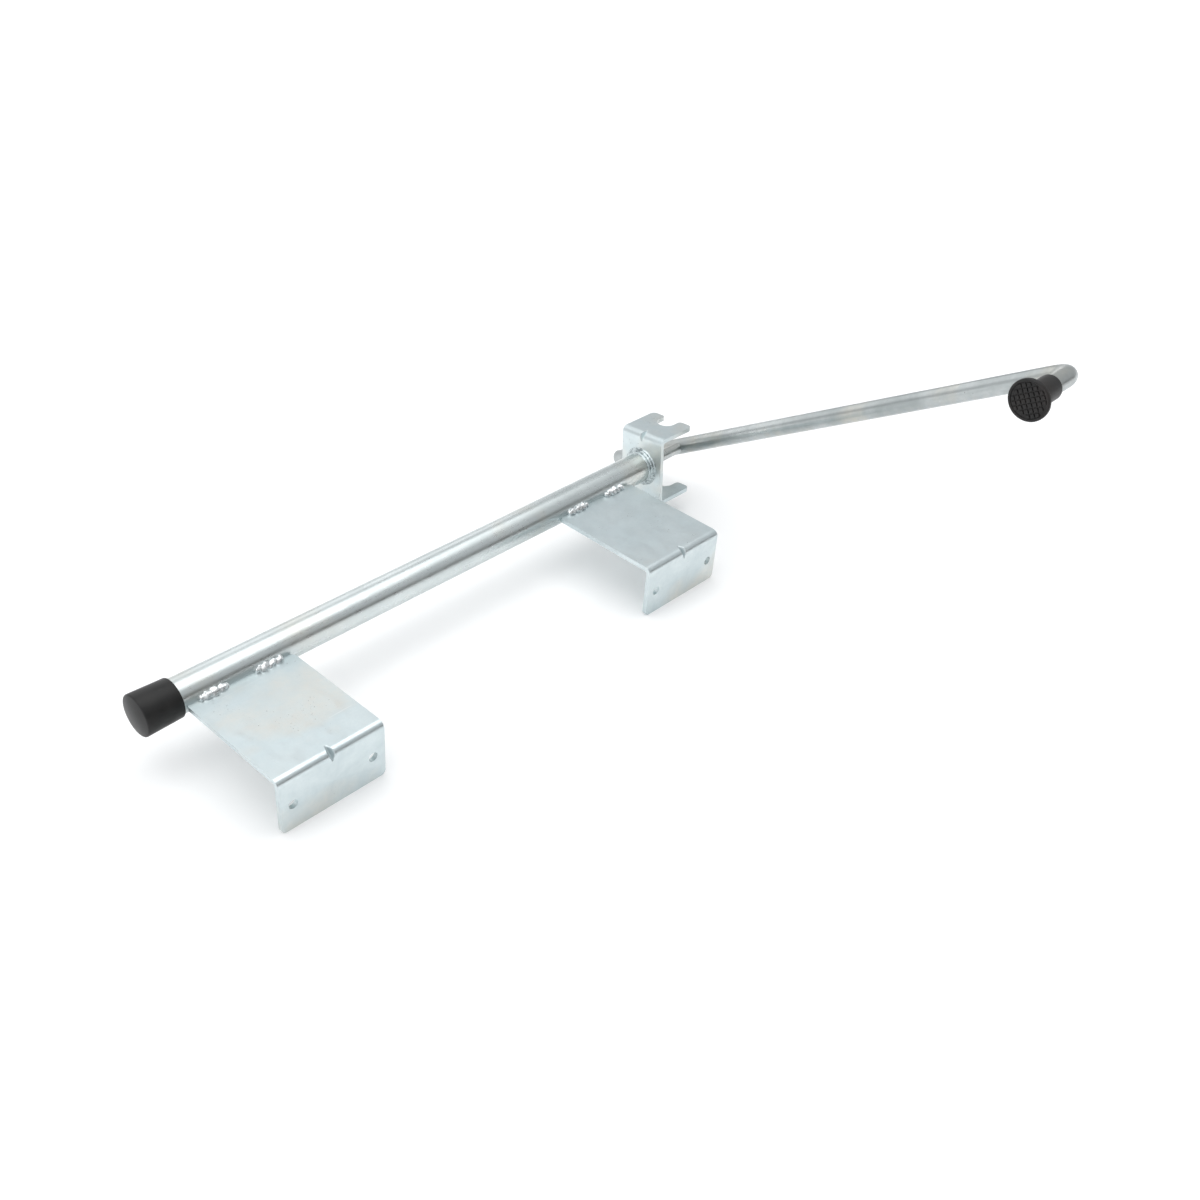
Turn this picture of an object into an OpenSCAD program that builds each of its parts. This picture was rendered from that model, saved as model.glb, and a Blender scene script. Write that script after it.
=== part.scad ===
// Door security bar: a steel tube with two welded screw brackets, a slotted
// fork at one end, and a turning crank arm with a rubber foot.
// The origin is midway between the two screw holes of the front bracket, on
// the outer face of its flange. +X runs along the bar towards the fork, +Y
// from the flange towards the bar, +Z up. All sizes are in millimetres.

/* [Bar] */
// Outer diameter of the main tube
tube_d = 22; // [20:1:26]
// Wall of the main tube
tube_wall = 2; // [1.5:0.25:2.25]
// Distance from the front bracket's middle to the capped end of the tube
tube_tail = 58; // [50:1:120]
// Distance from the middle of one bracket to the middle of the next
bracket_spacing = 294.5; // [180:0.5:400]
// Distance from the rear bracket's middle to the fork's front face
fork_offset = 60.7; // [55:0.1:120]

/* [Brackets] */
// Width of each bracket along the bar
bracket_w = 71; // [50:1:90]
// Distance from the flange's outer face to the bar's axis
bracket_reach = 94; // [70:1:140]
// Height of the flange from the top of the plate
flange_h = 38; // [34:1:60]
// Thickness of every sheet part
sheet_t = 3; // [2:0.5:4]
// Outer radius of every bend
bend_r = 4.5; // [4.5:0.5:6]
// Diameter of the screw holes
screw_d = 6; // [4:0.5:7]
// Distance from a screw hole to the bracket's side edge
screw_inset = 8.5; // [7:0.5:14]
// Distance from the plate's top down to the screw holes
screw_drop = 20.6; // [14:0.1:24]

/* [Fork] */
// Width of the fork
fork_w = 37.4; // [34:0.2:48]
// Height of the fork over both flanges
fork_h = 52.8; // [50:0.2:66]
// Depth of the fork from its front face to the prong tips
fork_depth = 34.5; // [34:0.5:44]
// Width of the slots that the arm drops into
slot_w = 14; // [13:0.5:16]
// Depth of the slots from the prong tips to their floor
slot_depth = 14; // [12:0.5:16]
// Angle at which the fork is welded on, about the bar
fork_tilt = -5; // [-8:1:8]

/* [Crank arm] */
// Diameter of the arm's rod
arm_d = 12; // [10:0.5:13]
// Length of the arm from the bar's axis to the foot's axis
arm_length = 323; // [200:1:420]
// Length of the plain tail on the other side of the axis
arm_tail = 73; // [30:1:90]
// Length from the arm's axis to the face of the rubber foot
leg_length = 57.6; // [50:0.1:100]
// Radius of the arm's bend along its middle line
arm_bend_r = 15; // [12:1:24]
// Angle of the arm above level as it rests
arm_angle = 31.7; // [-60:0.1:80]
// Gap between the arm and the prong tips as it rests
arm_gap = 6.8; // [0.5:0.1:8]
// Diameter of the shaft that the arm turns on
shaft_d = 8; // [6:0.5:9]

/* [Rubber parts] */
// Outer diameter of the end cap at its mouth
cap_mouth_d = 24.6; // [24:0.2:30]
// Outer diameter of the end cap at its closed end
cap_base_d = 26.2; // [24:0.2:32]
// Length of the end cap from its mouth to the edge of its closed end
cap_length = 23.7; // [18:0.1:40]
// Diameter of the foot's pad
foot_pad_d = 25; // [22:0.2:34]
// Outer diameter of the foot's sleeve
foot_sleeve_d = 15.4; // [14.6:0.2:18]
// Length of the whole foot
foot_length = 25.5; // [22:0.5:36]

/* [Hidden] */
$fn = 64;

// How far a cutting shape stands past what it cuts.
cut = 1;

axis_y = bracket_reach;
axis_z = screw_drop;
bore_d = tube_d - 2*tube_wall;
fork_x = bracket_spacing + fork_offset;
web_back_x = fork_x + sheet_t;
arm_x = fork_x + fork_depth + arm_gap + arm_d/2;

flange_corner_r = 3.5;
plate_long_corner_r = 4.5;
plate_short_corner_r = 2;
plate_end_y = axis_y - tube_d/2 + 0.5;
tip_corner_r = 3.6;
slot_corner_r = 2.6;

// The darts: radius of the pressed groove or ridge, and how far its middle
// line stands out from the bend's square corner.
rib_outer_r = 2.2;
rib_outer_out = 1.44;
rib_inner_r = 3.6;
rib_inner_out = 2.6;
rib_length = 2*bend_r + 3;

cap_base_t = 2.5;
cap_x = -tube_tail - cap_base_t;
cap_dome_r = 48;
cap_dome_rise = 1.8;
cap_overlap = 0.1;

bush_length = 20;
bush_x = web_back_x - bush_length;
running_gap = 0.05;
// The shaft is drawn out this far, with a little room left before the stop.
draw_travel = 12;
stop_room = 1.3;
washer_t = 1.6;
washer_play = 0.7;
washer_x = bush_x - draw_travel - stop_room - washer_t;
nut_t = 6;
nut_af = 13;
insert_t = 2;
insert_rim = 0.8;
nut_gap = 0.1;
nut_x = washer_x - nut_gap - nut_t;
shaft_tail = 4;
shaft_start_x = nut_x - insert_t - shaft_tail;
shaft_proud = 0.6;
shaft_end_x = arm_x + arm_d/2 + shaft_proud;

foot_pad_t = 3;
foot_base_t = 4.4;
foot_cone_h = 2;
foot_cone_in = 1.5;
foot_x = arm_x - leg_length;
foot_washer_t = 1.5;
leg_end_x = foot_x + foot_base_t + foot_washer_t;
tread_d = 20.6;
tread_depth = 0.6;
tread_pitch = 3;
tread_groove = 0.7;

weld_r = 2.7;
weld_length = 14;
weld_inset = 17;
weld_out = 0.5;
weld_up = 0.6;
ring_weld_t = 4.4;

arm_chamfer = 1;

steel = [0.75, 0.79, 0.81];
bright = [0.86, 0.88, 0.9];
dull = [0.6, 0.61, 0.62];
black = [0.09, 0.09, 0.1];

// Puts its children on the bar's axis, with their own Z along the bar.
module on_axis(x) {
  translate([x, axis_y, axis_z]) rotate([0, 90, 0]) children();
}

// What is left of a square corner outside a round of radius r. The corner
// points to +X +Y and sits at the origin.
module corner_waste(r) {
  difference() {
    translate([-r, -r]) square([r + cut, r + cut]);
    translate([-r, -r]) circle(r);
  }
}

// A right-angled bend in sheet, w wide along Y, from the +Z face of a level
// sheet round to the -X face of an upright one. The outer corner is the origin.
module sheet_bend(w) {
  translate([bend_r, w/2, -bend_r]) rotate([90, 0, 0]) rotate([0, 0, 90])
    rotate_extrude(angle = 90, $fn = 96)
      translate([bend_r - sheet_t, 0]) square([sheet_t, w]);
}

// A round bar laid across a bend at 45 degrees. It cuts the dart's groove into
// the outside of the bend and, thicker, makes the ridge on its inside.
module rib_press(r, out) {
  translate([out, 0, -out]) rotate([0, 45, 0])
    cylinder(h = rib_length, r = r, center = true, $fn = 32);
}

module pressed_bend(w) {
  difference() {
    union() {
      sheet_bend(w);
      intersection() {
        rib_press(rib_inner_r, rib_inner_out);
        translate([sheet_t/2, -w/2, -3*bend_r]) cube([3*bend_r, w, 3*bend_r - sheet_t/2]);
      }
    }
    rib_press(rib_outer_r, rib_outer_out);
  }
}

module main_tube() {
  color(steel) on_axis(-tube_tail) difference() {
    cylinder(h = tube_tail + web_back_x, d = tube_d, $fn = 128);
    translate([0, 0, -cut]) cylinder(h = tube_tail + web_back_x + 2*cut, d = bore_d, $fn = 128);
  }
}

module end_cap() {
  color(black) on_axis(cap_x) difference() {
    union() {
      cylinder(h = cap_length, d1 = cap_base_d, d2 = cap_mouth_d, $fn = 96);
      intersection() {
        translate([0, 0, cap_dome_r - cap_dome_rise]) sphere(r = cap_dome_r, $fn = 96);
        translate([0, 0, -2*cap_dome_rise])
          cylinder(h = 2*cap_dome_rise + cap_overlap, d = cap_base_d, $fn = 96);
      }
    }
    translate([0, 0, cap_base_t]) cylinder(h = cap_length, d = tube_d, $fn = 96);
  }
}

// One screw bracket, centred on x = 0: a plate from the tube out to the bend,
// and a flange turned down with two screw holes.
module bracket() {
  color(steel) difference() {
    union() {
      translate([-bracket_w/2, bend_r, axis_z - sheet_t])
        cube([bracket_w, axis_y - bend_r, sheet_t]);
      translate([-bracket_w/2, 0, axis_z - flange_h])
        cube([bracket_w, sheet_t, flange_h - bend_r]);
      translate([0, 0, axis_z]) rotate([0, 0, 90]) pressed_bend(bracket_w);
    }
    on_axis(-bracket_w) cylinder(h = 2*bracket_w, d = tube_d, $fn = 128);
    for (side = [-1, 1]) {
      translate([side*(bracket_w/2 - screw_inset), -cut, 0]) rotate([-90, 0, 0])
        cylinder(h = sheet_t + 2*cut, d = screw_d);
      translate([side*bracket_w/2, -cut, axis_z - flange_h]) mirror([side < 0 ? 1 : 0, 0, 0])
        rotate([-90, 0, 0]) linear_extrude(sheet_t + 2*cut) corner_waste(flange_corner_r);
    }
    translate([bracket_w/2, plate_end_y, axis_z - sheet_t - cut])
      linear_extrude(sheet_t + 2*cut) corner_waste(plate_long_corner_r);
    translate([-bracket_w/2, plate_end_y, axis_z - sheet_t - cut]) mirror([1, 0, 0])
      linear_extrude(sheet_t + 2*cut) corner_waste(plate_short_corner_r);
  }
}

module front_bracket() { bracket(); }

module rear_bracket() { translate([bracket_spacing, 0, 0]) bracket(); }

// The outline of one fork flange from above. Its slot is open at the tips.
module fork_outline() {
  slot_floor = fork_depth - slot_depth;
  difference() {
    translate([bend_r, -fork_w/2]) square([fork_depth - bend_r, fork_w]);
    translate([slot_floor + slot_w/2, 0]) circle(d = slot_w);
    translate([slot_floor + slot_w/2, -slot_w/2]) square([slot_depth, slot_w]);
    for (side = [0, 1]) mirror([0, side]) {
      translate([fork_depth, fork_w/2]) corner_waste(tip_corner_r);
      translate([fork_depth, slot_w/2]) mirror([0, 1]) corner_waste(slot_corner_r);
    }
  }
}

module fork_bracket() {
  color(steel) translate([fork_x, axis_y, axis_z]) rotate([fork_tilt, 0, 0]) difference() {
    union() {
      translate([0, -fork_w/2, bend_r - fork_h/2]) cube([sheet_t, fork_w, fork_h - 2*bend_r]);
      for (side = [0, 1]) mirror([0, 0, side]) {
        translate([0, 0, fork_h/2]) pressed_bend(fork_w);
        translate([0, 0, fork_h/2 - sheet_t]) linear_extrude(sheet_t) fork_outline();
      }
    }
    translate([-cut, 0, 0]) rotate([0, 90, 0]) cylinder(h = sheet_t + 2*cut, d = tube_d, $fn = 128);
  }
}

// Two short fillet welds in the corner between the tube and a bracket's plate.
module bracket_welds() {
  color(bright) difference() {
    for (side = [-1, 1])
      translate([side*(bracket_w/2 - weld_inset), axis_y - tube_d/2 - weld_out, axis_z + weld_up]) {
        translate([-weld_length/2, 0, 0]) sphere(r = weld_r, $fn = 48);
        translate([weld_length/2, 0, 0]) sphere(r = weld_r, $fn = 48);
        translate([-weld_length/2, 0, 0]) rotate([0, 90, 0])
          cylinder(h = weld_length, r = weld_r, $fn = 48);
      }
    on_axis(-bracket_w) cylinder(h = 2*bracket_w, d = tube_d, $fn = 128);
    translate([-bracket_w, 0, axis_z - 2*sheet_t]) cube([2*bracket_w, axis_y, 2*sheet_t]);
  }
}

module front_bracket_welds() { bracket_welds(); }

module rear_bracket_welds() { translate([bracket_spacing, 0, 0]) bracket_welds(); }

// The round weld between the tube and the fork's front face, laid in two runs
// that stand out as two ridges.
module fork_weld() {
  color(bright) on_axis(fork_x - ring_weld_t) rotate_extrude($fn = 96)
    polygon([[tube_d/2, 0], [tube_d/2 + 0.9, 0.2], [tube_d/2 + 1.3, 0.8],
             [tube_d/2 + 1.3, 1.5], [tube_d/2 + 1.1, 2], [tube_d/2 + 2.4, 2.3],
             [tube_d/2 + 3.2, 3.1], [tube_d/2 + 3.4, ring_weld_t], [tube_d/2, ring_weld_t]]);
}

// A plain bush pressed into the tube's mouth. The shaft turns and slides in it.
module guide_bush() {
  color(dull) on_axis(bush_x) difference() {
    cylinder(h = bush_length, d = bore_d, $fn = 96);
    translate([0, 0, -cut]) cylinder(h = bush_length + 2*cut, d = shaft_d + 2*running_gap, $fn = 96);
  }
}

// The washer that meets the bush and stops the shaft from being drawn out.
module stop_washer() {
  color(bright) on_axis(washer_x) difference() {
    cylinder(h = washer_t, d = bore_d - washer_play, $fn = 96);
    translate([0, 0, -cut])
      cylinder(h = washer_t + 2*cut, d = shaft_d + 2*running_gap, $fn = 96);
  }
}

module lock_nut() {
  color(bright) on_axis(nut_x) difference() {
    cylinder(h = nut_t, d = nut_af/cos(30), $fn = 6);
    translate([0, 0, -cut]) cylinder(h = nut_t + 2*cut, d = shaft_d, $fn = 64);
  }
}

module nut_insert() {
  color([0.15, 0.3, 0.6]) on_axis(nut_x - insert_t) difference() {
    cylinder(h = insert_t, d = nut_af - 2*insert_rim, $fn = 64);
    translate([0, 0, -cut]) cylinder(h = insert_t + 2*cut, d = shaft_d, $fn = 64);
  }
}

module turn_shaft() {
  color(steel) on_axis(shaft_start_x)
    cylinder(h = shaft_end_x - shaft_start_x, d = shaft_d, $fn = 96);
}

// Puts its children in the arm's own frame: the bar's axis meets the arm at
// the origin, +X runs out along the arm and +Y is parallel to the bar.
module on_arm() {
  translate([arm_x, axis_y, axis_z]) rotate([-arm_angle, 0, 0])
    rotate([0, 0, -90]) children();
}

// The rod is one piece: a straight arm, a bend, and a leg parallel to the bar.
module swing_arm() {
  arm_end = arm_length - arm_bend_r;
  color(steel) on_arm() difference() {
    union() {
      translate([arm_chamfer - arm_tail, 0, 0]) rotate([0, 90, 0])
        cylinder(h = arm_tail - arm_chamfer + arm_end, d = arm_d, $fn = 96);
      translate([-arm_tail, 0, 0]) rotate([0, 90, 0])
        cylinder(h = arm_chamfer, d1 = arm_d - 2*arm_chamfer, d2 = arm_d, $fn = 96);
      translate([arm_end, -arm_bend_r, 0]) rotate_extrude(angle = 90, $fn = 128)
        translate([arm_bend_r, 0]) circle(d = arm_d, $fn = 96);
      translate([arm_length, -arm_bend_r, 0]) rotate([90, 0, 0])
        cylinder(h = arm_x - leg_end_x - arm_bend_r, d = arm_d, $fn = 96);
    }
    translate([0, arm_d, 0]) rotate([90, 0, 0]) cylinder(h = 2*arm_d, d = shaft_d, $fn = 96);
  }
}

// The weld that closes the shaft into the far side of the arm.
module arm_weld() {
  color(bright) difference() {
    on_axis(arm_x) rotate_extrude($fn = 64)
      polygon([[0, 1], [5.4, 1], [5.4, 4.6], [4.7, 6.8], [3, 8.2], [0, 8.7]]);
    on_arm() translate([-arm_d, 0, 0]) rotate([0, 90, 0])
      cylinder(h = 2*arm_d, d = arm_d, $fn = 96);
    on_axis(shaft_start_x) cylinder(h = shaft_end_x - shaft_start_x, d = shaft_d, $fn = 96);
  }
}

// Puts its children on the foot's axis, with their own Z towards the arm.
module on_leg(x) {
  translate([x, axis_y - arm_length*cos(arm_angle), axis_z + arm_length*sin(arm_angle)])
    rotate([0, 90, 0]) children();
}

module foot_washer() {
  color(bright) on_leg(foot_x + foot_base_t)
    cylinder(h = foot_washer_t, d = arm_d, $fn = 64);
}

// The grooves between the square blocks of the foot's tread.
module tread_grooves() {
  intersection() {
    translate([0, 0, -cut]) cylinder(h = cut + tread_depth, d = tread_d, $fn = 96);
    rotate([0, 0, -arm_angle]) for (i = [-3.5:3.5]) {
      translate([i*tread_pitch - tread_groove/2, -tread_d, -cut])
        cube([tread_groove, 2*tread_d, cut + tread_depth]);
      translate([-tread_d, i*tread_pitch - tread_groove/2, -cut])
        cube([2*tread_d, tread_groove, cut + tread_depth]);
    }
  }
}

module rubber_foot() {
  color(black) on_leg(foot_x) difference() {
    union() {
      cylinder(h = foot_pad_t, d = foot_pad_d, $fn = 96);
      translate([0, 0, foot_pad_t])
        cylinder(h = foot_cone_h, d1 = foot_pad_d - 2*foot_cone_in, d2 = foot_sleeve_d, $fn = 96);
      translate([0, 0, foot_pad_t])
        cylinder(h = foot_length - foot_pad_t, d = foot_sleeve_d, $fn = 96);
    }
    translate([0, 0, foot_base_t]) cylinder(h = foot_length, d = arm_d, $fn = 96);
    tread_grooves();
  }
}

main_tube();
end_cap();
front_bracket();
rear_bracket();
fork_bracket();
front_bracket_welds();
rear_bracket_welds();
fork_weld();
guide_bush();
stop_washer();
lock_nut();
nut_insert();
turn_shaft();
swing_arm();
arm_weld();
foot_washer();
rubber_foot();
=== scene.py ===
from math import atan2, cos, hypot, pi, radians, sin

import bmesh
import bpy
from mathutils import Matrix, Vector


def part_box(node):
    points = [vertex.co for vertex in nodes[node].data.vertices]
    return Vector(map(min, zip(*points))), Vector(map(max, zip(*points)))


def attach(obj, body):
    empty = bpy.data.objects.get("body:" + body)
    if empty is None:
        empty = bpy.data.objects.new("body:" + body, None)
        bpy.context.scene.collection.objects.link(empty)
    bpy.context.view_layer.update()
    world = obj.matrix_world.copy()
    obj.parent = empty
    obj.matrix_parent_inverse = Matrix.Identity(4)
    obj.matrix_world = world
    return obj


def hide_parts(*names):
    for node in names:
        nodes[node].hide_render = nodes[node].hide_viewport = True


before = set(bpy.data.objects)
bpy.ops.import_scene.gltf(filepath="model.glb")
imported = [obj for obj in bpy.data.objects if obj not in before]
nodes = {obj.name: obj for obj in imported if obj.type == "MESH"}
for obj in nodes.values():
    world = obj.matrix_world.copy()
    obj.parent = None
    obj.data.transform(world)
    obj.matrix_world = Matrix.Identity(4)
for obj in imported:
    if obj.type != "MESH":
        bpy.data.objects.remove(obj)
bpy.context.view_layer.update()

# ---- Camera -------------------------------------------------------------
# One view from above the capped end, looking along the bar towards the arm.
# The lens takes in the whole object with wide empty margins.

camera_turn, camera_drop, camera_roll = radians(49.867), radians(35.96), radians(5.058)
camera_place = Vector((-0.30973, -0.43847, 0.51338))
look = Vector((sin(camera_turn) * cos(camera_drop), cos(camera_turn) * cos(camera_drop), -sin(camera_drop)))
level_right = Vector((cos(camera_turn), -sin(camera_turn), 0))
level_up = level_right.cross(look)
right = level_right * cos(camera_roll) + level_up * sin(camera_roll)
up = level_up * cos(camera_roll) - level_right * sin(camera_roll)
lens = bpy.data.cameras.new("camera")
lens.lens, lens.sensor_width = 39.755, 36
camera = bpy.data.objects.new("camera", lens)
camera.matrix_world = Matrix.Translation(camera_place) @ Matrix((right, up, -look)).transposed().to_4x4()
bpy.context.scene.collection.objects.link(camera)
bpy.context.scene.camera = camera

# ---- Main tube ----------------------------------------------------------
# Drawn steel tube, zinc plated. It is glossy round its girth with faint
# lengthwise drawing lines, cloudy plating and a few small handling marks.


class Sock:
    """A node socket in a sum."""

    def __init__(self, tree, out):
        self.tree, self.out = tree, out

    def _maths(self, operation, a, b):
        node = self.tree.nodes.new("ShaderNodeMath")
        node.operation = operation
        for slot_in, value in zip(node.inputs, (a, b)):
            put(self.tree, slot_in, value)
        return Sock(self.tree, node.outputs[0])

    def __add__(self, other):
        return self._maths("ADD", self, other)

    def __sub__(self, other):
        return self._maths("SUBTRACT", self, other)

    def __rsub__(self, other):
        return self._maths("SUBTRACT", other, self)

    def __mul__(self, other):
        return self._maths("MULTIPLY", self, other)

    __radd__, __rmul__ = __add__, __mul__


def put(tree, slot_in, value):
    if isinstance(value, Sock):
        tree.links.new(value.out, slot_in)
    else:
        slot_in.default_value = value


class Finish:
    """A material being mixed: its tree, its shader and one way to add a node."""

    def __init__(self, name, **fixed):
        self.material = bpy.data.materials.new(name)
        self.material.use_nodes = True
        self.tree = self.material.node_tree
        self.shader = self.tree.nodes["Principled BSDF"]
        for socket, value in fixed.items():
            self.shader.inputs[socket.replace("_", " ")].default_value = value

    def node(self, kind, out=0, settings=None, by_place=None, **by_name):
        """Adds a node: its settings first, then its sockets, by place or by name."""
        made = self.tree.nodes.new("ShaderNode" + kind)
        for key, value in (settings or {}).items():
            setattr(made, key, value)
        for key, value in (by_place or {}).items():
            put(self.tree, made.inputs[key], value)
        for key, value in by_name.items():
            put(self.tree, made.inputs[key.replace("_", " ")], value)
        return Sock(self.tree, made.outputs[out])

    def place(self, stretch):
        """Object coordinates, in metres, scaled by stretch."""
        spot = self.node("TexCoord", out="Object")
        return self.node("Mapping", Vector=spot, Scale=stretch)

    def noise(self, stretch, detail=3.0, roughness=0.55):
        spot = self.place(stretch)
        return self.node("TexNoise", Vector=spot, Scale=1.0, Detail=detail, Roughness=roughness)

    def between(self, value, low, high, to_low=0.0, to_high=1.0):
        """Value's stretch from low to high, carried over to the stretch from to_low to to_high."""
        return self.node("MapRange", by_place={0: value, 1: low, 2: high, 3: to_low, 4: to_high})

    def mix(self, factor, a, b):
        return self.node("Mix", 2, {"data_type": "RGBA"}, {0: factor, 6: a, 7: b})

    def feed(self, socket, value):
        put(self.tree, self.shader.inputs[socket], value)

    def bump(self, height, strength, distance):
        made = self.node("Bump", Height=height, Strength=strength, Distance=distance)
        self.feed("Normal", made)


def zinc(name, pale, cloud, warm, gloss, streak, pits, relief, uneven):
    """Zinc plating. streak is how its fine lines stretch along X, Y and Z, relief how deep its texture is,
    and uneven how much its gloss wanders."""
    f = Finish(name, Metallic=1.0)
    clouds = f.noise((24, 24, 24), 5, 0.62)
    yellow = f.noise((17, 23, 20), 3)
    spangle = f.noise((210, 210, 210), 3, 0.7)
    lines = f.noise(streak, 3, 0.7)
    grain = f.noise((1100, 1100, 1100), 2)
    colour = f.mix(f.between(clouds, 0.36, 0.64), pale, cloud)
    colour = f.mix(f.between(yellow, 0.5, 0.66, 0, 0.6), colour, warm)
    colour = f.mix(f.between(spangle, 0.35, 0.65, 0, 0.3), colour, cloud)
    colour = f.mix(f.between(lines, 0.3, 0.7, 0, 0.22), colour, cloud)
    specks = f.noise((900, 760, 840), 3, 0.65)
    rare = f.between(f.noise((38, 38, 38), 3), 0.54, 0.62)
    pit = f.between(specks, 0.66, 0.7) * rare * pits
    scratch = f.noise((14, 520, 520), 2, 0.8)
    mark = f.between(scratch, 0.7, 0.74) * f.between(yellow, 0.45, 0.6)
    colour = f.mix(pit, colour, (0.1, 0.09, 0.08, 1))
    f.feed("Base Color", f.mix(mark * 0.5, colour, (0.9, 0.92, 0.92, 1)))
    rough = f.between(clouds, 0.3, 0.7, gloss, gloss + uneven) + f.between(lines, 0.3, 0.7, -0.04, 0.06)
    f.feed("Roughness", rough + pit * 0.3 + f.between(spangle, 0.3, 0.7, -0.03, 0.05))
    f.bump(grain * 0.25 + lines * 0.6 + spangle * 0.5 - pit * 1.5 - mark * 0.6, relief, 0.0001)
    return f.material


tube_zinc = zinc(
    "drawn tube zinc",
    (0.69, 0.74, 0.74, 1),
    (0.6, 0.65, 0.65, 1),
    (0.68, 0.65, 0.57, 1),
    gloss=0.27,
    streak=(3, 500, 500),
    pits=0.3,
    relief=0.015,
    uneven=0.03,
)


def finished(bm, name, body, material, stands_for=(), smooth_under=35, edge=0.0):
    """Makes the piece from its bmesh, parents it to its body's empty and hides the parts it replaces."""
    bmesh.ops.remove_doubles(bm, verts=bm.verts, dist=1e-7)
    bmesh.ops.recalc_face_normals(bm, faces=bm.faces)
    mesh = bpy.data.meshes.new(name)
    bm.to_mesh(mesh)
    bm.free()
    mesh.materials.append(material)
    mesh.shade_smooth()
    mesh.set_sharp_from_angle(angle=radians(smooth_under))
    piece = bpy.data.objects.new(name, mesh)
    bpy.context.scene.collection.objects.link(piece)
    if edge:
        even = piece.modifiers.new("flat faces", "WEIGHTED_NORMAL")
        even.keep_sharp = True
        soften = piece.modifiers.new("edge", "BEVEL")
        soften.width, soften.segments, soften.limit_method, soften.angle_limit = edge, 2, "ANGLE", radians(40)
        piece.modifiers.move(1, 0)
    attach(piece, body)
    if stands_for:
        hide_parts(*stands_for)
    return piece


def turned(name, outline, centre, body, material, stands_for=(), around=128, smooth_under=35):
    """Spins an outline of (x, radius) points about the bar's own direction through centre."""
    bm = bmesh.new()
    corners = [bm.verts.new((x, 0, r)) for x, r in outline]
    edges = [bm.edges.new(pair) for pair in zip(corners, corners[1:])]
    bmesh.ops.spin(
        bm, geom=corners + edges, cent=(0, 0, 0), axis=(1, 0, 0), angle=2 * pi, steps=around, use_merge=True
    )
    bmesh.ops.translate(bm, vec=(0, centre[0], centre[1]), verts=bm.verts)
    return finished(bm, name, body, material, stands_for, smooth_under)


def arc(cx, cr, radius, start, end, steps=5):
    """Points round an arc of an outline, as (x, radius), from one angle to the other in degrees."""
    turns = [radians(start + (end - start) * i / steps) for i in range(steps + 1)]
    return [(cx + radius * cos(t), cr + radius * sin(t)) for t in turns]


tube_low, tube_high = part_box("main_tube")
bar_axis = ((tube_low.y + tube_high.y) / 2, (tube_low.z + tube_high.z) / 2)
tube_r = (tube_high.z - tube_low.z) / 2
tube_wall, tube_lip = 0.002, 0.0003
bore_r = tube_r - tube_wall
tube_outline = [
    (tube_low.x, bore_r + tube_lip),
    (tube_low.x, tube_r - tube_lip),
    (tube_low.x + tube_lip, tube_r),
    (tube_high.x - tube_lip, tube_r),
    (tube_high.x, tube_r - tube_lip),
    (tube_high.x, bore_r + tube_lip),
    (tube_high.x - tube_lip, bore_r),
    (tube_low.x + tube_lip, bore_r),
    (tube_low.x, bore_r + tube_lip),
]
turned("main_tube_drawn", tube_outline, bar_axis, "bar", tube_zinc, ["main_tube"])

# ---- End cap ------------------------------------------------------------
# Moulded black rubber cap pushed over the tube's end. It is slightly wider at
# its closed end, which is gently domed, and has a soft edge at each end.

cap_low, cap_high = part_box("end_cap")
cap_mouth_r, cap_base_r, cap_edge = 0.0123, (cap_high.z - cap_low.z) / 2, 0.0011
cap_closed = cap_low.x + 0.0018


def rubber(name, dark, dust, gloss, fine):
    """Moulded rubber: almost black, satin, with a dry bloom in soft patches."""
    f = Finish(name, Specular_IOR_Level=0.34)
    bloom = f.noise((60, 60, 60), 4)
    skin = f.noise((fine, fine, fine), 3, 0.7)
    scuff = f.noise((180, 500, 500), 2)
    colour = f.mix(f.between(bloom, 0.38, 0.72, 0, 0.75), dark, dust)
    f.feed("Base Color", f.mix(f.between(scuff, 0.62, 0.74, 0, 0.35), colour, dust))
    f.feed("Roughness", f.between(bloom, 0.3, 0.7, gloss, gloss + 0.14) + skin * 0.06)
    f.bump(skin * 0.7 + scuff * 0.3, 0.25, 0.0001)
    return f.material


cap_rubber = rubber("cap rubber", (0.008, 0.008, 0.008, 1), (0.022, 0.021, 0.02, 1), 0.33, 2200)
cap_outline = (
    [(cap_low.x, 0), (cap_low.x + 0.0003, 0.005), (cap_low.x + 0.0009, 0.0088)]
    + arc(cap_closed + cap_edge, cap_base_r - cap_edge, cap_edge, 170, 90)
    + arc(cap_high.x - cap_edge * 0.6, cap_mouth_r - cap_edge * 0.6, cap_edge * 0.6, 90, 0)
    + [(cap_high.x, tube_r), (cap_closed + 0.0022, tube_r), (cap_closed + 0.0022, 0)]
)
turned("end_cap_moulded", cap_outline, bar_axis, "bar", cap_rubber, ["end_cap"])

# ---- Screw brackets -----------------------------------------------------
# Two identical angle brackets of 3 mm zinc-plated sheet. Each is bent once,
# with a dart pressed across the bend to stiffen it, and is welded to the tube.

sheet_t, bend_r = 0.003, 0.0045
sheet_edge = 0.00035
screw_inset, screw_r, flange_corner_r = 0.0085, 0.003, 0.0035
plate_long_r, plate_short_r = 0.0045, 0.002
bracket_dart_half = 0.0031
bracket_zinc = zinc(
    "sheet zinc",
    (0.72, 0.79, 0.8, 1),
    (0.58, 0.66, 0.68, 1),
    (0.74, 0.7, 0.63, 1),
    gloss=0.3,
    streak=(160, 60, 160),
    pits=0.8,
    relief=0.2,
    uneven=0.12,
)


def round_corner(x, y, radius, start, steps=6):
    """The points of a quarter round, centred at x, y."""
    turns = [radians(start + 90 * i / steps) for i in range(steps + 1)]
    return [(x + radius * cos(t), y + radius * sin(t)) for t in turns]


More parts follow.
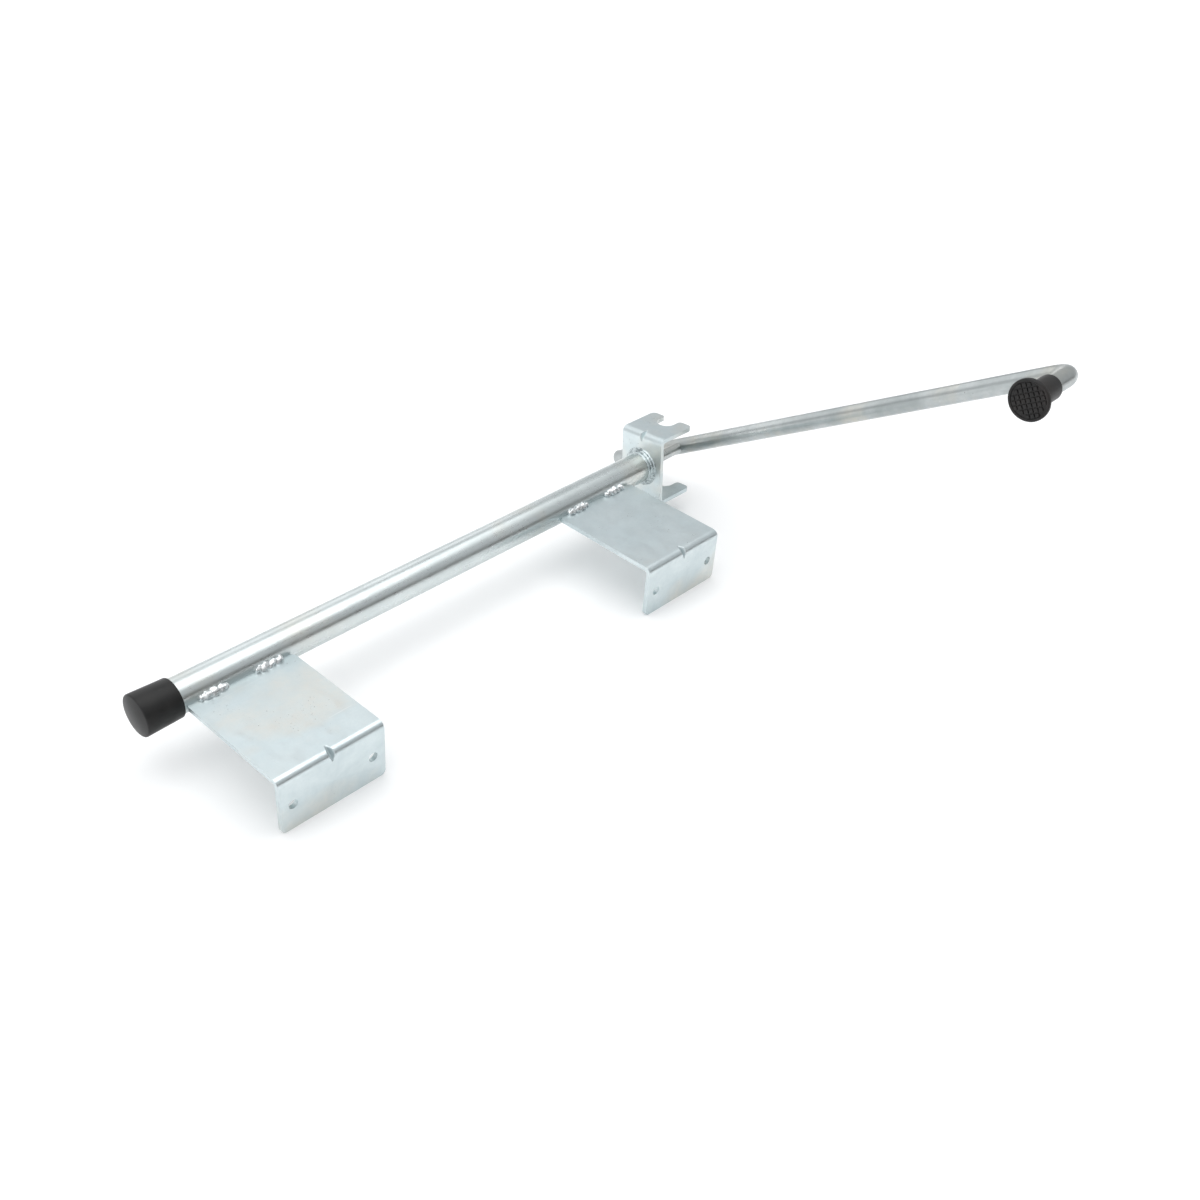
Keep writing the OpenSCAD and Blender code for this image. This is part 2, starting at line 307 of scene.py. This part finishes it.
def flat_sheet(bm, outline, holes, place):
    """A flat stretch of sheet with round holes, put where place says."""
    edges = []
    turns = [2 * pi * i / 40 for i in range(40)]
    rings = [outline] + [[(x + r * cos(t), y + r * sin(t)) for t in turns] for x, y, r in holes]
    for ring in rings:
        corners = [bm.verts.new(place(*p)) for p in ring]
        edges += [bm.edges.new(pair) for pair in zip(corners, corners[1:] + corners[:1])]
    bmesh.ops.triangle_fill(bm, use_beauty=True, use_dissolve=False, edges=edges)


def bend_sheet(bm, stations, place, dart_half, across=30):
    """The bent stretch and a little flat on each side, with a dart pressed straight across the corner."""
    grid = bmesh.ops.create_grid(bm, x_segments=len(stations) - 1, y_segments=across, size=0.5)["verts"]
    lead = bend_lead / (2 * bend_lead + bend_r * pi / 2)
    for corner in grid:
        u = stations[round((corner.co.x + 0.5) * (len(stations) - 1))]
        t = corner.co.y + 0.5
        if t < lead:
            down, back = 0.0, bend_r + bend_lead * (1 - t / lead)
        elif t > 1 - lead:
            down, back = bend_r + bend_lead * (t - 1 + lead) / lead, 0.0
        else:
            turn = (t - lead) / (1 - 2 * lead) * pi / 2
            down, back = bend_r * (1 - cos(turn)), bend_r * (1 - sin(turn))
        wall = dart_reach * (1 - max(0.0, abs(u) - dart_flat) / (dart_half - dart_flat))
        push = max(0.0, wall - (down + back) / 2**0.5) / 2**0.5
        corner.co = place(u, down + push, back + push)


def stations_for(width, dart_half):
    """Places across a bend: few on the plain stretches and close together at the dart."""
    near = [dart_half * (i / 10) for i in range(-10, 11)]
    far = [dart_half + (width / 2 - dart_half) * i / 5 for i in range(1, 6)]
    return [-u for u in reversed(far)] + near + far


bend_lead, dart_reach, dart_flat = 0.0036, 0.0047, 0.0004


def bracket(name, stands_for):
    low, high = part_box(stands_for)
    middle = (low.x + high.x) / 2
    half, top, outer = (high.x - low.x) / 2, high.z, low.y
    stations = stations_for(2 * half, bracket_dart_half)
    fold = bend_r + bend_lead
    bm = bmesh.new()
    seam_y = bar_axis[0] - tube_r + 0.0004
    plate = [(u, outer + fold) for u in stations]
    plate += round_corner(half - plate_long_r, seam_y - plate_long_r, plate_long_r, 0)
    plate += round_corner(-half + plate_short_r, seam_y - plate_short_r, plate_short_r, 90)
    flat_sheet(bm, plate, [], lambda u, v: (middle + u, v, top))
    corner_z = low.z + flange_corner_r
    flange = [(u, top - fold) for u in reversed(stations)]
    flange += round_corner(-half + flange_corner_r, corner_z, flange_corner_r, 180)
    flange += round_corner(half - flange_corner_r, corner_z, flange_corner_r, 270)
    screw_x = half - screw_inset
    screws = [(-screw_x, 0, screw_r), (screw_x, 0, screw_r)]
    flat_sheet(bm, flange, screws, lambda u, v: (middle + u, outer, v))
    bend_sheet(bm, stations, lambda u, down, back: (middle + u, outer + back, top - down), bracket_dart_half)
    thicken(bm)
    return finished(bm, name, "bar", bracket_zinc, [stands_for], 30, sheet_edge)


def thicken(bm):
    """Turns the outer skin to face up and out, then gives it the sheet's thickness inwards."""
    bmesh.ops.remove_doubles(bm, verts=bm.verts, dist=1e-6)
    bmesh.ops.recalc_face_normals(bm, faces=bm.faces)
    highest = max(bm.faces, key=lambda face: face.calc_center_median().z)
    if highest.normal.z < 0:
        bmesh.ops.reverse_faces(bm, faces=bm.faces)
    bmesh.ops.solidify(bm, geom=bm.faces[:], thickness=sheet_t)


bracket("front_bracket_bent", "front_bracket")
bracket("rear_bracket_bent", "rear_bracket")

# ---- Fork ---------------------------------------------------------------
# A strip of the same 3 mm sheet bent twice into a U and welded square across
# the tube's end, turned a few degrees. Each leg has a slot open at its tip.

fork_weld_low, fork_weld_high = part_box("fork_weld")
fork_face = fork_weld_high.x
fork_half, fork_half_height, fork_depth = 0.0187, 0.0264, 0.0345
slot_half, slot_floor = 0.007, 0.0205
fork_tilt = radians(-5)
fork_dart_half = 0.0028

fork_stations = stations_for(2 * fork_half, fork_dart_half)
tip_r, mouth_r = 0.0036, 0.0026
fold = bend_r + bend_lead
slot_turns = [radians(270 - 180 * i / 20) for i in range(21)]
fork_leg = [(fold, u) for u in reversed(fork_stations)]
fork_leg += round_corner(fork_depth - tip_r, -fork_half + tip_r, tip_r, 270)
fork_leg += round_corner(fork_depth - mouth_r, -slot_half - mouth_r, mouth_r, 0)
fork_leg += [(slot_floor + slot_half + slot_half * cos(t), slot_half * sin(t)) for t in slot_turns]
fork_leg += round_corner(fork_depth - mouth_r, slot_half + mouth_r, mouth_r, 270)
fork_leg += round_corner(fork_depth - tip_r, fork_half - tip_r, tip_r, 0)
bm = bmesh.new()
for side in (1, -1):
    leg_z = side * fork_half_height
    flat_sheet(bm, fork_leg, [], lambda x, u: (fork_face + x, u, leg_z))
    bend_sheet(
        bm,
        fork_stations,
        lambda u, down, back: (fork_face + back, u, leg_z - side * down),
        fork_dart_half,
    )
web_top = fork_half_height - fold
web = [(u, web_top) for u in fork_stations] + [(u, -web_top) for u in reversed(fork_stations)]
flat_sheet(bm, web, [(0, 0, tube_r)], lambda u, v: (fork_face, u, v))
thicken(bm)
bmesh.ops.rotate(bm, cent=(0, 0, 0), matrix=Matrix.Rotation(fork_tilt, 3, "X"), verts=bm.verts)
bmesh.ops.translate(bm, vec=(0, bar_axis[0], bar_axis[1]), verts=bm.verts)
finished(bm, "fork_bent", "bar", bracket_zinc, ["fork_bracket"], 30, sheet_edge)

# ---- Welds --------------------------------------------------------------
# Short lumpy beads in the corner between the tube and each bracket's plate,
# and a round bead in two runs where the tube meets the fork. All are plated.


def weld_finish(name, shaded_hollow, lit_crown, relief):
    """Plated bead: crown is the colour of its lumps, lightened as a painted highlight, and hollow that of its
    grooves, darkened as painted shade.
    """
    f = Finish(name, Metallic=1.0)
    lumps = f.noise((420, 420, 420), 3)
    scale = f.noise((1500, 1500, 1500), 2)
    # Painted highlight and shade: the colour runs from dark in the grooves to near white on the lumps, on the
    # same noise that raises the bump.
    f.feed("Base Color", f.mix(f.between(lumps, 0.35, 0.62), shaded_hollow, lit_crown))
    f.feed("Roughness", f.between(lumps, 0.3, 0.7, 0.18, 0.42))
    f.bump(lumps + scale * 0.2, relief, 0.0003)
    return f.material


# Both finishes paint the bead's lumps light as a painted highlight and its grooves dark as painted shade.
weld_zinc = weld_finish("plated weld", (0.62, 0.64, 0.65, 1), (0.95, 0.97, 0.97, 1), 0.35)
ring_zinc = weld_finish("plated ring weld", (0.36, 0.41, 0.42, 1), (0.7, 0.77, 0.78, 1), 0.1)


def lump(place, seed):
    """A repeatable uneven height, about -1 to 1, for beads laid by hand."""
    x, y, z = place
    return (
        sin(x * 1900 + seed * 2.1) * 0.45
        + sin(y * 2300 + seed * 3.7 + sin(x * 900)) * 0.3
        + sin(z * 2700 + seed * 1.3 + sin(y * 1100)) * 0.25
    )


def bead(bm, start, length, seed):
    """One short fillet bead: ripples laid at a slant one over the next, thick in the middle."""
    ball = bmesh.ops.create_uvsphere(bm, u_segments=40, v_segments=72, radius=1)["verts"]
    bmesh.ops.rotate(bm, cent=(0, 0, 0), matrix=Matrix.Rotation(pi / 2, 3, "Y"), verts=ball)
    for corner in ball:
        u = corner.co.x
        girth = hypot(corner.co.y, corner.co.z)
        full = (1 - abs(u) ** 6) ** 0.5 if abs(u) < 1 else 0
        turn = atan2(corner.co.z, corner.co.y)
        along = u * length / 2
        ripple = abs(sin((along + 0.0016 * cos(turn + seed)) * pi / 0.0052 + seed * 1.9)) ** 0.7
        thick = 0.0027 * (0.66 + 0.46 * ripple + 0.16 * sin(u * 5 + seed * 1.7))
        reach = girth and full * thick
        at = Vector((start.x + along, start.y + cos(turn) * reach, start.z + sin(turn) * reach * 1.05))
        at += Vector((0, cos(turn), sin(turn))) * 0.00032 * lump(at, seed) * full
        corner.co = at


for stands_for, first_seed in (("front_bracket_welds", 1), ("rear_bracket_welds", 4)):
    weld_low, weld_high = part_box(stands_for)
    bead_length = 0.0195
    bm = bmesh.new()
    for i, x in enumerate((weld_low.x + bead_length / 2, weld_high.x - bead_length / 2)):
        seam = Vector((x, bar_axis[0] - tube_r - 0.0005, bar_axis[1] + 0.0008))
        bead(bm, seam, bead_length, first_seed + i)
    finished(bm, stands_for + "_beads", "bar", weld_zinc, [stands_for], 80)

bm = bmesh.new()
ring_x = fork_weld_low.x
ring_outline = [
    (0, -0.0006),
    (0, 0.0003),
    (0.0003, 0.0009),
    (0.0009, 0.0013),
    (0.0015, 0.0011),
    (0.0018, 0.0006),
    (0.002, 0.0013),
    (0.0024, 0.0022),
    (0.003, 0.0026),
    (0.0035, 0.0021),
    (0.0036, 0.0024),
    (0.0039, 0.0034),
    (0.0043, 0.0036),
    (0.0046, 0.0031),
    (0.0046, -0.0006),
    (0, -0.0006),
]
corners = [bm.verts.new((ring_x + x, 0, tube_r + r)) for x, r in ring_outline]
edges = [bm.edges.new(pair) for pair in zip(corners, corners[1:])]
bmesh.ops.spin(
    bm, geom=corners + edges, cent=(0, 0, 0), axis=(1, 0, 0), angle=2 * pi, steps=240, use_merge=True
)
for corner in bm.verts:
    radius = hypot(corner.co.y, corner.co.z)
    if radius > tube_r:
        turn = atan2(corner.co.z, corner.co.y)
        outward = Vector((0, cos(turn), sin(turn)))
        ripple = abs(sin(turn * 21 + (corner.co.x - ring_x) * 700))
        corner.co += outward * (0.00006 * ripple - 0.0001 + 0.00006 * lump(corner.co, 9))
bmesh.ops.translate(bm, vec=(0, bar_axis[0], bar_axis[1]), verts=bm.verts)
finished(bm, "fork_weld_ring", "bar", ring_zinc, ["fork_weld"], 80)

# ---- Crank arm ----------------------------------------------------------
# One drawn steel rod, zinc plated: a straight arm with a plain tail, a bend
# and a short leg back along the bar. It is duller than the tube.

rod_r, arm_reach, arm_tail, arm_bend_r, leg_length = 0.006, 0.323, 0.073, 0.015, 0.0576
arm_rise = radians(31.7)
shaft_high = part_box("turn_shaft")[1]
shaft_proud = 0.0006
arm_x = shaft_high.x - shaft_proud - rod_r
rod_zinc = zinc(
    "rod zinc",
    (0.57, 0.6, 0.6, 1),
    (0.38, 0.41, 0.41, 1),
    (0.6, 0.55, 0.45, 1),
    gloss=0.27,
    streak=(500, 8, 8),
    pits=0.8,
    relief=0.12,
    uneven=0.08,
)


def carry_on(bm, edges, ahead, radius_ratio=1.0):
    """Carries the rod's open end on by ahead, and scales its round by radius_ratio."""
    made = bmesh.ops.extrude_edge_only(bm, edges=edges)["geom"]
    corners = [item for item in made if isinstance(item, bmesh.types.BMVert)]
    for corner in corners:
        corner.co.x *= radius_ratio
        corner.co.y *= radius_ratio
    bmesh.ops.translate(bm, vec=ahead, verts=corners)
    return [item for item in made if isinstance(item, bmesh.types.BMEdge)]


bm = bmesh.new()
end_rounding = [(0, rod_r - 0.0016), (0.0002, rod_r - 0.0009), (0.0009, rod_r - 0.0002), (0.0014, rod_r)]
tail_end = bmesh.ops.create_circle(bm, cap_ends=True, segments=64, radius=end_rounding[0][1])["verts"]
bmesh.ops.translate(bm, vec=(0, 0, -arm_tail), verts=tail_end)
open_end = list(bm.edges)
for (near, small), (far, large) in zip(end_rounding, end_rounding[1:]):
    open_end = carry_on(bm, open_end, (0, 0, far - near), large / small)
open_end = carry_on(bm, open_end, (0, 0, arm_tail - end_rounding[-1][0]))
open_end = carry_on(bm, open_end, (0, 0, arm_reach - arm_bend_r))
turned_rod = bmesh.ops.spin(
    bm,
    geom=open_end + list({corner for edge in open_end for corner in edge.verts}),
    cent=(-arm_bend_r, 0, arm_reach - arm_bend_r),
    axis=(0, 1, 0),
    angle=-pi / 2,
    steps=24,
)["geom_last"]
open_end = [item for item in turned_rod if isinstance(item, bmesh.types.BMEdge)]
foot_seat = 0.0059
leg_end = leg_length - foot_seat
made = bmesh.ops.extrude_edge_only(bm, edges=open_end)["geom"]
corners = [item for item in made if isinstance(item, bmesh.types.BMVert)]
bmesh.ops.translate(bm, vec=(arm_bend_r - leg_end, 0, 0), verts=corners)
bmesh.ops.edgeloop_fill(bm, edges=[item for item in made if isinstance(item, bmesh.types.BMEdge)])
across, out = Vector((0, sin(arm_rise), cos(arm_rise))), Vector((0, -cos(arm_rise), sin(arm_rise)))
rod_turn = Matrix((Vector((1, 0, 0)), across, out)).transposed().to_4x4()
rod_place = Matrix.Translation((arm_x, *bar_axis)) @ rod_turn
bmesh.ops.transform(bm, matrix=rod_place, verts=bm.verts)
finished(bm, "swing_arm_rod", "arm", rod_zinc, ["swing_arm"], 50)

# ---- Rubber foot --------------------------------------------------------
# Moulded rubber foot pushed over the leg's end: a sleeve that runs into a
# round pad, whose face has square tread blocks inside a plain rim.

foot_low, foot_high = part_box("rubber_foot")
leg_axis = ((foot_low.y + foot_high.y) / 2, (foot_low.z + foot_high.z) / 2)
pad_r, sleeve_r, pad_t = (foot_high.z - foot_low.z) / 2, 0.0077, 0.003
groove_depth, tread_r, tread_pitch, block_half = 0.0007, 0.0106, 0.003, 0.00118
foot_rubber = rubber("foot rubber", (0.009, 0.0085, 0.0085, 1), (0.026, 0.021, 0.019, 1), 0.38, 2600)
foot_outline = (
    [
        (foot_low.x + groove_depth, 0),
        (foot_low.x + groove_depth, tread_r),
        (foot_low.x + 0.0002, tread_r + 0.0003),
    ]
    + arc(foot_low.x + 0.0009, pad_r - 0.0009, 0.0009, 180, 90)
    + arc(foot_low.x + pad_t - 0.0008, pad_r - 0.0008, 0.0008, 90, 0)
    + arc(foot_low.x + pad_t + 0.0022, sleeve_r + 0.0022, 0.0022, 180, 270)
    + arc(foot_high.x - 0.0006, sleeve_r - 0.0006, 0.0006, 90, 0)
    + [(foot_high.x, rod_r), (foot_low.x + 0.0044, rod_r), (foot_low.x + 0.0044, 0)]
)
turned("rubber_foot_moulded", foot_outline, leg_axis, "arm", foot_rubber, ["rubber_foot"])

bm = bmesh.new()
for row in range(-3, 4):
    for column in range(-3, 4):
        centre = Vector((row * tread_pitch, column * tread_pitch))
        if centre.length > tread_r - 0.0006:
            continue
        block = bmesh.ops.create_cube(bm, size=1)["verts"]
        for corner in block:
            spot = centre + Vector((corner.co.y, corner.co.z)) * 2 * block_half
            if spot.length > tread_r:
                spot *= tread_r / spot.length
            taper = 0.93 if corner.co.x < 0 else 1
            spot = centre + (spot - centre) * taper
            spot.rotate(Matrix.Rotation(-arm_rise, 2))
            deep = foot_low.x + groove_depth + 0.0002 if corner.co.x > 0 else foot_low.x
            corner.co = (deep, leg_axis[0] + spot.x, leg_axis[1] + spot.y)
bmesh.ops.recalc_face_normals(bm, faces=bm.faces)
bmesh.ops.bevel(
    bm,
    geom=[edge for edge in bm.edges if edge.calc_face_angle(0) > 0.5],
    offset=0.00012,
    affect="EDGES",
    segments=2,
    profile=0.5,
    material=-1,
    clamp_overlap=True,
)
finished(bm, "foot_tread", "arm", foot_rubber, [], 35)

# ---- Turning parts inside the tube --------------------------------------
# The shaft that the arm turns on, its pressed bush, stop washer and lock nut,
# the disc in the foot, and the weld that holds the shaft in the arm.


def turned_steel():
    f = Finish("turned steel", Metallic=1.0)
    lathe = f.noise((2600, 60, 60), 2)
    film = f.noise((90, 90, 90), 3)
    f.feed("Base Color", f.mix(f.between(film, 0.35, 0.7), (0.5, 0.5, 0.49, 1), (0.36, 0.35, 0.33, 1)))
    f.feed("Roughness", f.between(film, 0.3, 0.7, 0.25, 0.42))
    f.bump(lathe, 0.25, 0.0001)
    return f.material


def nylon():
    f = Finish("nylon")
    swirl = f.noise((300, 300, 300), 3)
    f.feed("Base Color", f.mix(f.between(swirl, 0.35, 0.65), (0.05, 0.14, 0.4, 1), (0.09, 0.2, 0.5, 1)))
    f.feed("Roughness", f.between(swirl, 0.3, 0.7, 0.4, 0.55))
    return f.material


steel_finish = turned_steel()
inner_finishes = {
    "guide_bush": steel_finish,
    "stop_washer": steel_finish,
    "lock_nut": steel_finish,
    "foot_washer": steel_finish,
    "nut_insert": nylon(),
    "turn_shaft": rod_zinc,
    "arm_weld": weld_zinc,
}
for node, material in inner_finishes.items():
    nodes[node].data.materials.clear()
    nodes[node].data.materials.append(material)

# ---- Floor and light ----------------------------------------------------
# A pale floor that touches the flanges and the arm's tail, as the bar lies,
# under broad soft lights. It glows faintly, and more further out, to stay white.
# A dark screen, out of sight, gives the metal contrast.

floor_rise = radians(-2.1)
floor = bpy.data.objects.new("floor", bpy.data.meshes.new("floor"))
bm = bmesh.new()
bmesh.ops.create_grid(bm, x_segments=1, y_segments=1, size=6)
bmesh.ops.rotate(bm, cent=(0, 0, 0), matrix=Matrix.Rotation(floor_rise, 3, "X"), verts=bm.verts)
bmesh.ops.translate(bm, vec=(0, 0, nodes["front_bracket"].bound_box[0][2]), verts=bm.verts)
bm.to_mesh(floor.data)
bm.free()
paper = Finish("floor paper", Roughness=0.9, Emission_Strength=0.6)
middle_out = paper.place((0.4, 0.4, 0.4))
near = paper.node("TexGradient", "Fac", {"gradient_type": "SPHERICAL"}, Vector=middle_out)
far_glow, near_glow = (1, 1, 1, 1), (0.2, 0.2, 0.2, 1)
paper.feed("Emission Color", paper.mix(paper.between(near, 0.3, 0.75), far_glow, near_glow))
weave = paper.noise((40, 40, 40), 2)
paper.feed("Base Color", paper.mix(weave, (0.93, 0.93, 0.93, 1), (0.95, 0.95, 0.95, 1)))
floor.data.materials.append(paper.material)
bpy.context.scene.collection.objects.link(floor)


def soft_light(name, place, size, power, aim=(0.15, 0, 0)):
    lamp = bpy.data.lights.new(name, "AREA")
    lamp.shape, lamp.size, lamp.size_y, lamp.energy = "RECTANGLE", size[0], size[1], power
    holder = bpy.data.objects.new(name, lamp)
    holder.location = place
    holder.rotation_euler = (Vector(aim) - Vector(place)).to_track_quat("-Z", "Y").to_euler()
    bpy.context.scene.collection.objects.link(holder)


soft_light("overhead", (0.2, 0.2, 1.6), (2.2, 1.6), 15)
soft_light("left", (-1.4, 0.3, 0.9), (1.2, 1.2), 6)
soft_light("back", (0.4, 1.6, 0.8), (2.0, 0.9), 4)

screen = bpy.data.objects.new("dark screen", bpy.data.meshes.new("dark screen"))
bm = bmesh.new()
bmesh.ops.create_grid(bm, x_segments=1, y_segments=1, size=0.5)
bmesh.ops.scale(bm, vec=(4, 0.55, 1), verts=bm.verts)
bmesh.ops.rotate(bm, cent=(0, 0, 0), matrix=Matrix.Rotation(pi / 2, 3, "X"), verts=bm.verts)
bmesh.ops.translate(bm, vec=(1.2, -1.5, 0.42), verts=bm.verts)
bm.to_mesh(screen.data)
bm.free()
screen_cloth = Finish("screen cloth", Roughness=0.9)
threads = screen_cloth.noise((60, 60, 60), 2)
screen_cloth.feed("Base Color", screen_cloth.mix(threads, (0.05, 0.042, 0.036, 1), (0.08, 0.07, 0.06, 1)))
screen.data.materials.append(screen_cloth.material)
bpy.context.scene.collection.objects.link(screen)
screen.visible_camera = False
bpy.context.scene.view_settings.view_transform = "Standard"

world = bpy.data.worlds.new("room")
bpy.context.scene.world = world
world.use_nodes = True
world.node_tree.nodes["Background"].inputs["Color"].default_value = (0.9, 0.92, 0.94, 1)
world.node_tree.nodes["Background"].inputs["Strength"].default_value = 0.68
